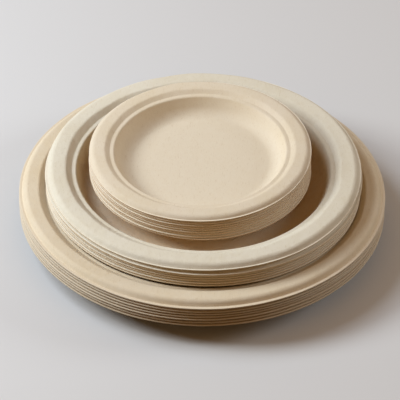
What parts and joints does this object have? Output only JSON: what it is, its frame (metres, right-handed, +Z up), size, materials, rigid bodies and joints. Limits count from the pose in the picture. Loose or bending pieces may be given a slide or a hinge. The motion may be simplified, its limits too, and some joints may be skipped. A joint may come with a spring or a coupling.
{
  "type": "stack of paper plates",
  "caption": "Round moulded-fibre paper plates in large, medium and small sizes, nested by size, each smaller stack standing in the well of the one below it.",
  "frame": {"origin": "centre of the large stack's foot, on the table", "axes": "+Z up along the plates' axis, +X to the viewer's right and +Y to the back in the picture"},
  "size_m": [0.26, 0.26, 0.0663],
  "materials": {
    "large_plate_pulp": "matt moulded fibre",
    "medium_plate_pulp": "matt moulded fibre",
    "small_plate_pulp": "matt moulded fibre"
  },
  "bodies": {
    "root": {"large_plate_1": "large_plate_pulp", "large_plate_2": "large_plate_pulp", "large_plate_3": "large_plate_pulp", "large_plate_4": "large_plate_pulp", "large_plate_5": "large_plate_pulp", "large_plate_6": "large_plate_pulp", "large_plate_7": "large_plate_pulp", "medium_plate_1": "medium_plate_pulp", "medium_plate_2": "medium_plate_pulp", "medium_plate_3": "medium_plate_pulp", "medium_plate_4": "medium_plate_pulp", "medium_plate_5": "medium_plate_pulp", "medium_plate_6": "medium_plate_pulp", "medium_plate_7": "medium_plate_pulp", "small_plate_1": "small_plate_pulp", "small_plate_2": "small_plate_pulp", "small_plate_3": "small_plate_pulp", "small_plate_4": "small_plate_pulp", "small_plate_5": "small_plate_pulp", "small_plate_6": "small_plate_pulp", "small_plate_7": "small_plate_pulp", "small_plate_8": "small_plate_pulp", "small_plate_9": "small_plate_pulp"}
  },
  "joints": []
}
